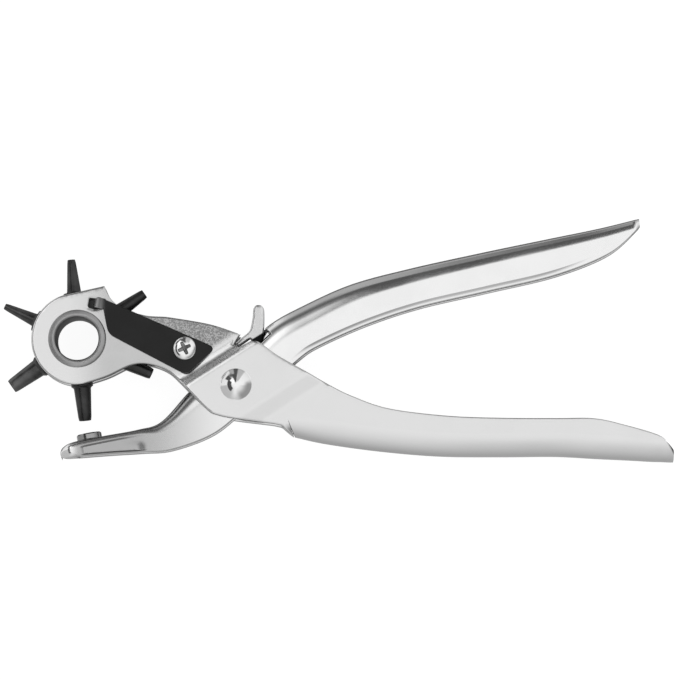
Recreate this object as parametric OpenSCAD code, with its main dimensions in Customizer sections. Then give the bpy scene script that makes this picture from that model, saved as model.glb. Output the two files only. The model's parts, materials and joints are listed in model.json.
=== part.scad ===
/* [Sheet metal] */
// Thickness of the pressed steel sheet of both levers
sheet_t = 2; // [1.8:0.1:2.1]
// Gap on each side between the two levers at the pivot
lever_gap = 0.2; // [0.15:0.05:0.3]

/* [Anvil lever] */
// Outer width of the channel-shaped anvil lever
channel_w = 12; // [11.8:0.1:12.2]
// Outer radius of the bend between the channel's back and its walls
channel_bend_r = 4; // [3.6:0.1:4.2]

/* [Turret lever] */
// Outer width of the lower handle
grip_w = 14; // [13.6:0.1:14.4]
// Outer radius of the lower handle's rounded back
grip_bend_r = 6.8; // [6:0.1:6.8]
// Radius of the round plates beside the punch wheel
cheek_r = 15.1; // [14.8:0.1:15.4]
// Gap between the inward flanges along the top of the neck
flange_gap = 4; // [3.8:0.1:5]

/* [Pivot] */
// Radius of the pivot rivet's shank
pivot_r = 3; // [2.6:0.1:3.2]
// Radius of the rivet's domed front head
pivot_head_r = 5.2; // [4.8:0.1:5.6]
// Height of the rivet's domed front head
pivot_head_h = 2.5; // [2:0.1:2.8]
// Thickness of the rivet's flat rear head
pivot_foot_t = 1.2; // [1:0.1:1.6]
// Outer radius of the sleeve that the anvil lever turns on
sleeve_r = 4; // [3.8:0.1:4.2]
// Thickness of the washers under the rear rivet heads
washer_t = 0.8; // [0.6:0.1:1]

/* [Turret] */
// Distance from the pivot to the turret's axis, along the lever
turret_x = -52.2; // [-53:0.1:-52]
// Distance from the pivot to the turret's axis, across the lever
turret_y = 15.2; // [15:0.1:15.6]
// Thickness of the punch wheel
wheel_t = 8; // [7.8:0.1:8]
// Radius of the punch wheel
wheel_r = 14.2; // [13.8:0.1:14.4]
// Radius of the hole through the hollow turret rivet
eyelet_r = 7; // [6.6:0.1:7.2]
// Radius of the hollow rivet's front lip
eyelet_lip_r = 9.5; // [9:0.1:10]

/* [Punches] */
// Diameter of the smallest punch
punch_min_d = 2; // [2:0.1:2.4]
// Step in diameter from each punch to the next
punch_step_d = 0.5; // [0.4:0.05:0.5]
// Distance from the turret's axis to the cutting edges
punch_reach = 26.7; // [25.5:0.1:26.8]
// Angle of the working punch away from straight down, in degrees
punch_lean = 5.2; // [5:0.1:5.4]

/* [Anvil] */
// Radius of the anvil button
anvil_r = 4.1; // [3.8:0.1:4.3]
// Height of the anvil button above the jaw
anvil_h = 2; // [1.8:0.1:2]

/* [Index spring] */
// Thickness of the index spring
leaf_t = 1.2; // [1:0.1:1.3]
// Radius of the index screw's head
screw_head_r = 3.95; // [3.6:0.05:4.2]
// Radius of the index screw's shank
screw_r = 2; // [1.8:0.1:2.2]

/* [Lock lever] */
// Thickness of the lock lever
lock_t = 3; // [2.4:0.1:3.2]
// Radius of the lock lever's pin
lock_pin_r = 1.25; // [1:0.05:1.4]

/* [Opening spring] */
// Diameter of the opening spring's wire
wire_d = 1.2; // [1:0.05:1.2]

/* [Hidden] */
$fn = 64;

// Clearances: a running fit, a tight fit, and the overlap that joins two blanks of one pressing
run_fit = 0.05;
tight_fit = 0.02;
weld = 0.1;

// Half widths from the tool's middle plane
wheel_gap = 0.2;
turret_in = wheel_t / 2 + wheel_gap;
turret_out = turret_in + sheet_t;
pivot_in = channel_w / 2 + lever_gap;
pivot_out = pivot_in + sheet_t;
grip_out = grip_w / 2;
grip_in = grip_out - sheet_t;
channel_in = channel_w / 2 - sheet_t;

// The tool lies on the flat rear head of its pivot rivet, on the plane z = 0
mid_z = pivot_out + washer_t + pivot_foot_t;

// Two joggles cross the cheeks at this angle: from the turret's level up to the pivot's, then down to the grip's
joggle_angle = -57.3;
turret_joggle = [-11.8, -7.6];
grip_joggle = [9.2, 15.2];

// Round shapes of the turret
barrel_r = eyelet_r + 1;
punch_angle = 60;
first_angle = 90 + punch_lean + punch_angle;
notch_reach = 12.2;
notch_r = 2.2;
notch_depth = 1.4;
shank_r = 2.2;
shank_start = 9;
collar_r = 3.6;
collar_t = 1.4;

// The anvil is square to the working punch when the handles are closed
anvil_pos = [-48.6, -15.6];
anvil_tilt = 10.2;
anvil_shank_r = 2.5;

// Index spring: its four rounded corners, its screw, and its nose
leaf_corners = [[-43.6, 26.5], [-8.6, 12.2], [-16.6, 4.9], [-41.3, 17.8]];
leaf_corner_r = 1.2;
screw_pos = [-16.9, 11.8];
nose_pos = [-47.2, 25.4];
nose_w = 3.2;
nose_depth = 1;

// Lock lever: its pin, finger tab and hook
lock_pos = [6.5, 7.9];
tab_foot = [5.8, 17.5];
tab_tip = [7.2, 25.1];
tab_r = 1.65;
hook_pos = [0.9, 13.7];
hook_r = 1.3;
slot_mid = 14.1;
slot_len = 10.4;
channel_rise = 38.7;

// Opening spring: coil radius, and the ends of its two legs
coil_r = sleeve_r + 1;
coil_half = 2.9;
upper_leg = [15.5, 19.5];
lower_leg = [27, -14.5];

// Edges of the turret lever's cheeks, from the turret's underside to the grip and back along the neck
cheek_under = [
    [-50, 0.3], [-42.2, 2.8], [-34.5, 6.4], [-29, 6.8], [-23, 4.8], [-18.5, 1], [-9.7, -8], [-6, -10],
    [0.6, -11.3], [12.2, -12.8],
];
cheek_tongue = [[15, -13.5], [17.3, -15.8], [21, -12.8], [31, -12.8], [33.5, -4.5], [24, 2.5]];
cheek_over = [[21, 5.4], [13.6, 9.6], [8.8, 13.1], [7, 14.2], [4.8, 14.3]];
neck_end = [[0.9, 12.3], [-0.7, 13.2]];
neck_top = [[1.4, 16.6], [-8.4, 19.9], [-21.5, 22.2], [-30, 22.9], [-37, 25.1], [-41, 28.1], [-43.4, 32.6]];
neck_tangent = [[-56.7, 29.6]];
flange_from = -24;

// Stations along the lower handle: back of the bend, open edge
grip_back = [
    [18.6, -16.9], [29.4, -19.2], [47.6, -21.7], [67, -23.3], [87, -23.5], [105, -23.4], [126, -24.5],
    [139, -25.1], [143.6, -25.2],
];
grip_edge = [
    [24.3, 3.1], [35.8, -2.8], [50, -7.6], [69, -10.1], [87, -10.9], [105, -11.2], [124, -12.8],
    [137.6, -16.6], [143.4, -21.8],
];

// Stations along the anvil lever, from its handle's end to its jaw: back of the channel, open edge
channel_back = [
    [132.9, 55.2], [120, 52], [103.3, 48.6], [80, 43.8], [57, 38.7], [37.5, 33.4], [20.9, 25.9],
    [11.1, 20.3], [2.6, 12.6], [-8.5, 3.7], [-15.6, -2], [-24.6, -11.9], [-32, -14.6], [-43.3, -16.7],
    [-53, -18.8], [-57.6, -21],
];
channel_edge = [
    [132.9, 51], [123, 43.5], [105.5, 36.4], [82.5, 30.9], [60.5, 25.8], [43, 20], [27.5, 13.1],
    [20.9, 8.8], [12.2, 0.6], [1.6, -9], [-8, -16.4], [-21, -21.2], [-31, -22.1], [-42, -22.8],
    [-52, -23.6], [-57.2, -23.8],
];
nose_fill = [[-57.1, -23], [-56.4, -21], [-54, -19.4], [-52.4, -19.2], [-52.4, -23], [-54, -23.3]];

// A smooth curve through points, with the given number of steps between each two
function blend(a, b, c, d, t) =
    0.5 * (2 * b + (c - a) * t + (2 * a - 5 * b + 4 * c - d) * t * t + (3 * b - a - 3 * c + d) * t * t * t);
function curve(p, steps) = [
    for (i = [0 : len(p) - 2], k = [0 : steps - 1])
        blend(p[max(i - 1, 0)], p[i], p[i + 1], p[min(i + 2, len(p) - 1)], k / steps),
    p[len(p) - 1],
];
function rise(a, b) = atan2(b[1] - a[1], b[0] - a[0]);
function polar(r, a) = [r * cos(a), r * sin(a)];

// Channel section as [distance from the back, distance from the middle plane], walked round once
bend_steps = 5;
function bend(r, centre_r, w, from, to) = [
    for (k = [0 : bend_steps])
        let (a = from + (to - from) * k / bend_steps)
        [centre_r - r * sin(a), w - centre_r + r * cos(a)],
];
function flip(p) = [for (q = p) [q[0], -q[1]]];
function channel_section(depth, w, r) = concat(
    [[depth, -w]],
    flip(bend(r, r, w, 0, 90)),
    bend(r, r, w, 90, 0),
    [[depth, w], [depth, w - sheet_t]],
    bend(r - sheet_t, r, w, 0, 90),
    flip(bend(r - sheet_t, r, w, 90, 0)),
    [[depth, sheet_t - w]]
);

// A channel bent along two edges: its back runs along one, and its open side along the other
module channel(back, edge, w, r, steps) {
    b = curve(back, steps);
    e = curve(edge, steps);
    rings = [
        for (i = [0 : len(b) - 1])
            let (depth = norm(e[i] - b[i]), way = (e[i] - b[i]) / depth)
            [
                for (q = channel_section(depth, w, max(sheet_t + 0.2, min(r, depth * 0.8))))
                    [b[i][0] + way[0] * q[0], b[i][1] + way[1] * q[0], q[1]],
            ],
    ];
    sweep(rings);
}

// A closed skin over a row of rings that all have the same even number of points
module sweep(rings) {
    n = len(rings[0]);
    last = (len(rings) - 1) * n;
    strip = [for (k = [0 : n / 2 - 2]) each [[k, n - 1 - k, n - 2 - k], [k, n - 2 - k, k + 1]]];
    sides = [
        for (i = [0 : len(rings) - 2], k = [0 : n - 1])
            let (a = i * n + k, b = i * n + (k + 1) % n)
            each [[a, b, b + n], [a, b + n, a + n]],
    ];
    caps = concat(strip, [for (f = strip) [last + f[0], last + f[2], last + f[1]]]);
    polyhedron(points = [for (ring = rings) each ring], faces = concat(sides, caps), convexity = 8);
}

module upright(x, y) {
    translate([x, y, mid_z]) children();
}

module cheek_outline() {
    translate([turret_x, turret_y]) circle(r = cheek_r, $fn = 128);
    polygon(concat(
        [[turret_x, turret_y]],
        curve(cheek_under, 3),
        cheek_tongue,
        curve(cheek_over, 2),
        neck_end,
        curve(neck_top, 3),
        neck_tangent
    ));
}

// Plate that follows the two joggles, seen along them
module joggled_plate() {
    far = 90;
    outer = [
        [-far, turret_out], [turret_joggle[0], turret_out], [turret_joggle[1], pivot_out],
        [grip_joggle[0], pivot_out], [grip_joggle[1], grip_out - weld], [far, grip_out - weld],
    ];
    inner = [
        [far, grip_in + weld], [grip_joggle[1], grip_in + weld], [grip_joggle[0], pivot_in],
        [turret_joggle[1], pivot_in], [turret_joggle[0], turret_in], [-far, turret_in],
    ];
    rotate([0, 0, joggle_angle])
        rotate([90, 0, 0])
            linear_extrude(height = 2 * far, center = true) polygon(concat(outer, inner));
}

module cheek() {
    intersection() {
        linear_extrude(height = pivot_out + 1) cheek_outline();
        joggled_plate();
    }
}

module neck_flange() {
    top = [for (p = curve(neck_top, 3)) if (p[0] > flange_from) p];
    under = [for (i = [len(top) - 1 : -1 : 0]) top[i] - [0, sheet_t]];
    translate([0, 0, flange_gap / 2])
        linear_extrude(height = turret_in + weld - flange_gap / 2) polygon(concat(top, under));
}

module spring_window() {
    translate([0, 0, turret_in - 1])
        linear_extrude(height = sheet_t + 2)
            polygon([[-49.2, 25.4], [-48.5, 29.4], [-44.2, 28.8], [-43.2, 24.6], [-45.8, 23.2]]);
}

module turret_lever() {
    color("gainsboro") upright(0, 0) difference() {
        union() {
            cheek();
            mirror([0, 0, 1]) cheek();
            neck_flange();
            mirror([0, 0, 1]) neck_flange();
            channel(grip_back, grip_edge, grip_out, grip_bend_r, 3);
        }
        translate([turret_x, turret_y, 0]) cylinder(r = barrel_r + tight_fit, h = 40, center = true);
        cylinder(r = pivot_r + tight_fit, h = 40, center = true);
        translate([screw_pos[0], screw_pos[1], 0]) cylinder(r = screw_r + tight_fit, h = 20);
        spring_window();
    }
}

module at_anvil() {
    translate([anvil_pos[0], anvil_pos[1], 0]) rotate([0, 0, anvil_tilt]) rotate([-90, 0, 0]) children();
}

module lock_slot() {
    slot_w = lock_t + 0.6;
    rotate([0, 0, channel_rise])
        translate([slot_mid, channel_w / 2 + 1, 0]) cube([slot_len, 2 * sheet_t + 1, slot_w], center = true);
}

module anvil_lever() {
    color("gainsboro") upright(0, 0) difference() {
        union() {
            channel(channel_back, channel_edge, channel_w / 2, channel_bend_r, 3);
            linear_extrude(height = 2 * channel_in + weld, center = true) polygon(nose_fill);
        }
        cylinder(r = sleeve_r + run_fit, h = 40, center = true);
        translate([lock_pos[0], lock_pos[1], 0]) cylinder(r = lock_pin_r + tight_fit, h = 40, center = true);
        at_anvil() translate([0, 0, -anvil_h]) cylinder(r = anvil_r + 0.1, h = 10);
        at_anvil() translate([0, 0, -anvil_h - 5]) cylinder(r = anvil_shank_r + tight_fit, h = 10);
        lock_slot();
    }
}

module anvil() {
    edge = 0.3;
    peen_t = 0.7;
    grip = anvil_h + sheet_t + 0.3;
    profile = [
        [0, 0], [anvil_r - edge, 0], [anvil_r, -edge], [anvil_r, -anvil_h], [anvil_shank_r, -anvil_h],
        [anvil_shank_r, -grip], [anvil_shank_r + 0.6, -grip], [anvil_shank_r + 0.3, -grip - peen_t],
        [0, -grip - peen_t],
    ];
    color("darkgray") upright(0, 0) at_anvil() rotate_extrude() polygon(profile);
}

module pivot_rivet() {
    dome_r = (pivot_head_r * pivot_head_r + pivot_head_h * pivot_head_h) / (2 * pivot_head_h);
    foot = pivot_out + washer_t;
    color("white") upright(0, 0) {
        translate([0, 0, -foot]) cylinder(r = pivot_r, h = foot + pivot_out + 0.5);
        translate([0, 0, -foot - pivot_foot_t]) cylinder(r = pivot_head_r - 0.4, h = pivot_foot_t);
        intersection() {
            translate([0, 0, pivot_out + pivot_head_h - dome_r]) sphere(r = dome_r);
            translate([0, 0, pivot_out]) cylinder(r = pivot_head_r + 1, h = pivot_head_h + 1);
        }
    }
}

module ring(inner, outer, low, high) {
    translate([0, 0, low]) difference() {
        cylinder(r = outer, h = high - low);
        translate([0, 0, -1]) cylinder(r = inner, h = high - low + 2);
    }
}

module pivot_washer() {
    color("silver") upright(0, 0)
        ring(pivot_r + tight_fit, pivot_head_r + 0.8, -pivot_out - washer_t, -pivot_out);
}

module pivot_sleeve() {
    color("silver") upright(0, 0) ring(pivot_r + tight_fit, sleeve_r, -pivot_in, pivot_in);
}

// The wire comes in along the lower leg, turns round the sleeve and leaves along the upper leg
module opening_spring() {
    turn_step = 18;
    from = atan2(lower_leg[1], lower_leg[0]) + acos(coil_r / norm(lower_leg));
    to = atan2(upper_leg[1], upper_leg[0]) - acos(coil_r / norm(upper_leg)) + 3 * 360;
    steps = ceil((to - from) / turn_step);
    coil = [
        for (i = [0 : steps])
            let (f = i / steps, p = polar(coil_r, from + (to - from) * f))
            [p[0], p[1], -coil_half + 2 * coil_half * f],
    ];
    path = concat(
        [[lower_leg[0], lower_leg[1], -coil_half]], coil, [[upper_leg[0], upper_leg[1], coil_half]]
    );
    last = len(path) - 1;
    sides = 8;
    rings = [
        for (i = [0 : last])
            let (
                run = path[min(i + 1, last)] - path[max(i - 1, 0)],
                out = cross(run, [0, 0, 1]) / norm(cross(run, [0, 0, 1])),
                up = cross(out, run) / norm(run)
            )
            [
                for (k = [0 : sides - 1])
                    path[i] + wire_d / 2 * (out * cos(-k * 360 / sides) + up * sin(-k * 360 / sides)),
            ],
    ];
    color("dimgray") upright(0, 0) sweep(rings);
}

module punch_wheel() {
    color("dimgray") upright(turret_x, turret_y) difference() {
        cylinder(r = wheel_r, h = wheel_t, center = true, $fn = 128);
        cylinder(r = barrel_r + run_fit, h = wheel_t + 2, center = true);
        for (i = [0 : 5]) {
            rotate([0, 0, first_angle - i * punch_angle])
                rotate([0, 90, 0]) cylinder(r = shank_r + tight_fit, h = wheel_r + 2);
            rotate([0, 0, first_angle - (i + 0.5) * punch_angle])
                translate([notch_reach, 0, wheel_t / 2 - notch_depth]) cylinder(r = notch_r, h = 3);
        }
    }
}

// A tapered tube with a threaded shank, a collar on the wheel's rim, and a bore that opens inwards
module punch(i) {
    tip_d = punch_min_d + i * punch_step_d;
    edge_t = 0.3;
    root_r = 1.45 + 0.345 * tip_d;
    seat = wheel_r + tight_fit;
    top = seat + collar_t;
    profile = [
        [tip_d / 2 - edge_t, shank_start], [shank_r, shank_start], [shank_r, seat], [collar_r, seat],
        [collar_r, top - 0.2], [collar_r - 0.2, top], [root_r, top], [tip_d / 2, punch_reach],
        [tip_d / 2 - edge_t, punch_reach],
    ];
    color("black") upright(turret_x, turret_y)
        rotate([0, 0, first_angle - i * punch_angle])
            rotate([0, 90, 0]) rotate_extrude($fn = 48) polygon(profile);
}

module punch_2_0() { punch(0); }
module punch_2_5() { punch(1); }
module punch_3_0() { punch(2); }
module punch_3_5() { punch(3); }
module punch_4_0() { punch(4); }
module punch_4_5() { punch(5); }

module turret_rivet() {
    lip_t = 1.3;
    foot = -turret_out - washer_t;
    profile = [
        [eyelet_r, foot - 0.7], [eyelet_r + 0.4, foot - 1.1], [eyelet_lip_r - 0.6, foot - 1.1],
        [eyelet_lip_r - 0.3, foot - 0.7], [eyelet_lip_r - 0.3, foot], [barrel_r, foot],
        [barrel_r, turret_out], [eyelet_lip_r, turret_out], [eyelet_lip_r, turret_out + 0.5],
        [eyelet_lip_r - 0.5, turret_out + 1], [eyelet_lip_r - 1, turret_out + lip_t],
        [eyelet_r + 0.6, turret_out + lip_t], [eyelet_r + 0.2, turret_out + 1.1],
        [eyelet_r, turret_out + 0.7],
    ];
    color("silver") upright(turret_x, turret_y) rotate_extrude($fn = 96) polygon(profile);
}

module turret_washer() {
    color("silver") upright(turret_x, turret_y)
        ring(barrel_r + tight_fit, eyelet_lip_r + 1.5, -turret_out - washer_t, -turret_out);
}

// The nose is bent down through the cheek's window into a notch of the wheel
module index_spring() {
    root = [-44.1, 26.2];
    way = rise(root, nose_pos);
    color("black") upright(0, 0) difference() {
        union() {
            translate([0, 0, turret_out]) linear_extrude(height = leaf_t) hull()
                for (p = leaf_corners) translate(p) circle(r = leaf_corner_r, $fn = 32);
            hull() {
                translate([root[0], root[1], turret_out + leaf_t / 2])
                    rotate([0, 0, way]) cube([0.4, nose_w, leaf_t], center = true);
                translate([nose_pos[0], nose_pos[1], wheel_t / 2 - nose_depth + leaf_t / 2])
                    rotate([0, 0, way]) cube([0.4, nose_w - 0.6, leaf_t], center = true);
            }
        }
        translate([screw_pos[0], screw_pos[1], 0]) cylinder(r = screw_r + tight_fit, h = 20);
    }
}

module index_screw() {
    head_h = 2.4;
    cross_w = 1.1;
    cross_len = 4.4;
    seat = turret_out + leaf_t;
    profile = [
        [0, turret_in - 1.4], [screw_r - 0.4, turret_in - 1.4], [screw_r, turret_in - 1], [screw_r, seat],
        [screw_head_r, seat], [screw_head_r, seat + 1], [screw_head_r - 0.4, seat + 1.7],
        [screw_head_r - 1.2, seat + 2.2], [screw_head_r - 2.2, seat + head_h], [0, seat + head_h],
    ];
    color("silver") upright(screw_pos[0], screw_pos[1]) difference() {
        rotate_extrude() polygon(profile);
        for (a = [25, 115])
            rotate([0, 0, a]) translate([0, 0, seat + head_h]) cube([cross_len, cross_w, 3], center = true);
    }
}

module lock_lever() {
    color("gainsboro") upright(0, 0) difference() {
        linear_extrude(height = lock_t, center = true) {
            hull() {
                translate(lock_pos) circle(r = 2.6, $fn = 32);
                translate(tab_foot) circle(r = tab_r + 0.1, $fn = 32);
            }
            hull() {
                translate(tab_foot) circle(r = tab_r + 0.1, $fn = 32);
                translate(tab_tip) circle(r = tab_r, $fn = 32);
            }
            hull() {
                translate(tab_foot) circle(r = hook_r, $fn = 32);
                translate(hook_pos) circle(r = hook_r, $fn = 32);
            }
        }
        translate([lock_pos[0], lock_pos[1], 0]) cylinder(r = lock_pin_r + run_fit, h = 10, center = true);
    }
}

module lock_pin() {
    color("silver") upright(lock_pos[0], lock_pos[1]) cylinder(r = lock_pin_r, h = channel_w, center = true);
}

turret_lever();
anvil_lever();
anvil();
pivot_rivet();
pivot_washer();
pivot_sleeve();
opening_spring();
punch_wheel();
punch_2_0();
punch_2_5();
punch_3_0();
punch_3_5();
punch_4_0();
punch_4_5();
turret_rivet();
turret_washer();
index_spring();
index_screw();
lock_lever();
lock_pin();
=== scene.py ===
"""Looks of a rotary hole punch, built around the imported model.
Lengths are in millimetres until a mesh is made."""

import json
import math

import bmesh
import bpy
import numpy as np
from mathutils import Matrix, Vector, geometry


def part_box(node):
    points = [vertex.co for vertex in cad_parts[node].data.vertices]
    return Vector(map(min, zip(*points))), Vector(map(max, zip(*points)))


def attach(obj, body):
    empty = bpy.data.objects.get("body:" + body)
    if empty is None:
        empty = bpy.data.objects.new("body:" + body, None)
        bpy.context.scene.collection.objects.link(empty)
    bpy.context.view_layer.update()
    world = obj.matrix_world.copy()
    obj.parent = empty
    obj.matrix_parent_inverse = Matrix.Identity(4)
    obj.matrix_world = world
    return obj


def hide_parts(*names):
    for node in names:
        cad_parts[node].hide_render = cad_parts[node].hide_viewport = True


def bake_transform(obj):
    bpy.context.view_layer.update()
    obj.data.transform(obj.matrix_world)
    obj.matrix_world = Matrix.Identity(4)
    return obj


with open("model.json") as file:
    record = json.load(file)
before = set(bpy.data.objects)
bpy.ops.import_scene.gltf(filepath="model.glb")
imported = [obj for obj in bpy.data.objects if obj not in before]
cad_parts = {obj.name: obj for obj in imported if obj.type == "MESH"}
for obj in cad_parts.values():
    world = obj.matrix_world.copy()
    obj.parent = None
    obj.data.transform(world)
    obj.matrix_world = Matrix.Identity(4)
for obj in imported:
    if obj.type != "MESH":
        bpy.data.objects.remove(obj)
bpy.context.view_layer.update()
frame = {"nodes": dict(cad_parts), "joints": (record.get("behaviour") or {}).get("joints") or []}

# ---- sizes

MM = 0.001
joint_at = {j["name"]: Vector(j["pos_m"]) / MM for j in frame["joints"]}
pivot = joint_at["handle_squeeze"]
turret = joint_at["turret_spin"]
mid_z = pivot.z


def levels(node):
    """Lowest and highest corner of a CAD node, in millimetres from the pivot in the tool's middle plane."""
    low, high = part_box(node)
    return low / MM - pivot, high / MM - pivot


SHEET = 2.0
EDGE = 0.35
ROLLED_EDGE = 0.65
PIVOT_OUT = levels("turret_lever")[1].z
TURRET_OUT = -levels("turret_washer")[1].z
GRIP_OUT = 7.0
CHANNEL_OUT = levels("anvil_lever")[1].z
CHEEK_R = 15.1
CHEEK_BORE = 8.02
PIN_BORE = 3.02
WASHER = 0.8

# The punches: the first one's direction, and the angle to the next, in degrees
PUNCH_START = 155.2
PUNCH_STEP = 60

# The joggles cross the cheeks at one angle. Each has its marks along JOGGLE_WAY: start, steepest place and
# end for the turret's, start and end for the grip's
JOGGLE_ANGLE = math.radians(-57.3)
JOGGLE_WAY = np.array([math.cos(JOGGLE_ANGLE), math.sin(JOGGLE_ANGLE)])
JOGGLE_SIDE = np.array([-JOGGLE_WAY[1], JOGGLE_WAY[0]])
TURRET_JOGGLE = (-13.4, -9.5, -7.4)
GRIP_JOGGLE = (9.6, 14.8)

# Edges of the turret lever
CHEEK_UNDER = [
    (-50, 0.3), (-42.2, 2.8), (-34.5, 6.4), (-29, 6.8), (-23, 4.8), (-18.5, 1), (-9.7, -8), (-6, -10),
    (0.6, -11.3), (12.2, -12.8),
]
SHOULDER = [(12.2, -12.8), (15, -13.4), (17.2, -15.4), (19.0, -16.9)]
CHEEK_OVER = [(31, -0.3), (21, 5.4), (13.6, 9.6), (8.8, 13.1), (7, 14.2), (4.8, 14.3)]
NECK_END = [(4.8, 14.3), (0.9, 12.3), (-0.7, 13.2), (1.4, 16.6)]
NECK_BEND = [(1.4, 16.6), (-8.4, 19.9), (-21.5, 22.2), (-25, 22.5)]
NECK_FRONT = [(-25, 22.5), (-30, 22.9), (-37, 25.1), (-41, 28.1), (-43.4, 32.6)]
CROWN = [(-43.4, 32.6), (-50, 31.1), (-56.7, 29.6)]
WINDOW_FRAME = 0.95
WINDOW_HOLE = [(-48.7, 25.6), (-46.6, 24.9), (-44.0, 25.5), (-44.8, 28.2), (-48.2, 28.6)]
FLANGE_R = 0.7
FLANGE_GAP = 4.0

# Lower handle: the bottom of its back, the crease where its side starts, and its open edge
GRIP_BACK = [
    (19.4, -17.0), (29.4, -19.2), (47.6, -21.7), (67, -23.3), (87, -23.5), (105, -23.4), (118.4, -24.1),
    (129.2, -24.6), (136.1, -25.0), (139.5, -25.1), (141.9, -25.2), (143.6, -25.2),
]
GRIP_CREASE = [
    (17.0, -11.4), (28.6, -12.3), (47.0, -14.7), (67.3, -16.3), (87, -16.5), (105, -16.4), (118, -17.1),
    (129, -17.6), (136, -18.0), (139.4, -18.1), (141.8, -18.2), (143.6, -18.2),
]
GRIP_EDGE = [
    (31, -0.3), (38, -3.7), (50, -7.8), (69, -10.2), (87, -10.9), (105, -11.0), (118, -11.1), (129, -13.6),
    (136, -15.6), (139.6, -17.1), (142, -19.6), (143.5, -22.6),
]

# Anvil lever, from its jaw to its handle's end: back, open edge, and radius of the bend between back and side
CHANNEL_BACK = [
    (-57.9, -22.4), (-56.9, -20.5), (-53, -18.6), (-43.3, -16.7), (-32, -14.6), (-24.6, -11.9),
    (-15.6, -2), (-8.5, 3.7), (2.6, 12.6), (11.1, 20.3), (20.9, 25.9), (37.5, 33.4), (57, 38.7),
    (80, 43.8), (103.3, 48.6), (120, 52), (132.7, 55.1),
]
CHANNEL_EDGE = [
    (-57.6, -23.4), (-56, -23.9), (-52, -23.6), (-42, -22.8), (-31, -22.1), (-21, -21.2),
    (-8, -16.4), (1.6, -9), (12.2, 0.6), (20.9, 8.8), (27.5, 13.1), (43, 20), (60.5, 25.8),
    (82.5, 30.9), (105.5, 36.4), (123, 43.5), (132.9, 52.2),
]
CHANNEL_BEND = [0.8, 1.5, 1.9, 1.7, 1.8, 3.6, 6.6, 7.0, 7.0, 7.2, 7.0, 6.2, 5.3, 4.7, 4.2, 3.6, 3.0]
CHANNEL_BEND_DEEP = 4.8


# ---- shapes in the plane

def curve(points, steps):
    """A smooth curve through points."""
    p = np.array(points, float)
    out = []
    for i in range(len(p) - 1):
        a, b, c, d = p[max(i - 1, 0)], p[i], p[i + 1], p[min(i + 2, len(p) - 1)]
        for k in range(steps):
            t = k / steps
            square, cube = 2 * a - 5 * b + 4 * c - d, 3 * b - a - 3 * c + d
            out.append(0.5 * (2 * b + (c - a) * t + square * t**2 + cube * t**3))
    out.append(p[-1])
    return np.array(out)


def spaced(points, gap):
    """The same line with points about gap apart."""
    p = np.array(points, float)
    run = np.concatenate([[0], np.cumsum(np.linalg.norm(np.diff(p, axis=0), axis=1))])
    count = max(2, int(round(run[-1] / gap)) + 1)
    at = np.linspace(0, run[-1], count)
    return np.stack([np.interp(at, run, p[:, k]) for k in range(p.shape[1])], axis=1)


def arc(centre, r, start, end, gap):
    """Points on an arc, with its angles in degrees."""
    count = max(3, int(abs(math.radians(end - start)) * r / gap))
    a = np.radians(np.linspace(start, end, count))
    return np.stack([centre[0] + r * np.cos(a), centre[1] + r * np.sin(a)], axis=1)


def round_corner(before, corner, after, r, steps):
    """Points that round one corner of an outline."""
    into, away = before - corner, after - corner
    reach = min(r, into.length * 0.45, away.length * 0.45)
    a = corner + into.normalized() * reach
    b = corner + away.normalized() * reach
    shares = [k / steps for k in range(steps + 1)]
    return [tuple(a * (1 - t) ** 2 + corner * 2 * t * (1 - t) + b * t**2) for t in shares]


def rounded(points, r, steps=4):
    """A closed outline with its corners rounded, by one radius or one for each corner."""
    p = [Vector(q) for q in points]
    radii = [r] * len(p) if isinstance(r, (int, float)) else r
    out = []
    for i, corner in enumerate(p):
        out += round_corner(p[i - 1], corner, p[(i + 1) % len(p)], radii[i], steps)
    return np.array(out)


def eased(profile, r):
    """A profile of (radius, height) points with its corners rounded by r, apart from points on the axis."""
    p = [Vector(q) for q in profile]
    out = []
    for i, corner in enumerate(p):
        if corner.x < 1e-6:
            out.append(tuple(corner))
        else:
            out += round_corner(p[i - 1], corner, p[(i + 1) % len(p)], r, 3)
    return out


def anticlockwise(loop):
    """The same loop, turned round if it runs clockwise."""
    x, y = loop[:, 0], loop[:, 1]
    return loop[::-1] if (x * np.roll(y, -1) - np.roll(x, -1) * y).sum() < 0 else loop


def inside(points, loop):
    """Which points lie inside a closed loop."""
    x, y = points[:, 0][:, None], points[:, 1][:, None]
    x1, y1 = loop[:, 0], loop[:, 1]
    x2, y2 = np.roll(x1, -1), np.roll(y1, -1)
    crosses = (y1 > y) != (y2 > y)
    with np.errstate(divide="ignore", invalid="ignore"):
        at = (x2 - x1) * (y - y1) / (y2 - y1) + x1
    return (crosses & (x < at)).sum(1) % 2 == 1


def clear_of(points, loop, gap):
    """Which points lie at least gap from every point of a loop."""
    d = np.linalg.norm(points[:, None, :] - loop[None, :, :], axis=2)
    return d.min(1) > gap


def inset(loop, depth):
    """A counter-clockwise loop moved inwards by a depth for each point."""
    step = np.roll(loop, -1, 0) - loop
    step /= np.maximum(np.linalg.norm(step, axis=1), 1e-9)[:, None]
    normal = np.stack([-step[:, 1], step[:, 0]], axis=1)
    both = normal + np.roll(normal, 1, 0)
    both /= np.maximum(np.linalg.norm(both, axis=1), 1e-9)[:, None]
    stretch = 1 / np.maximum((both * normal).sum(1), 0.6)
    return loop + both * (np.asarray(depth) * stretch)[:, None]


def soft_step(x, start, end, fillet):
    """A straight ramp from 0 to 1 with rounded ends."""
    def bend(v):
        v = np.asarray(v, float)
        return np.where(v < -fillet, 0, np.where(v > fillet, v, (v + fillet) ** 2 / (4 * fillet)))
    return (bend(x - start) - bend(x - end)) / (end - start)


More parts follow.
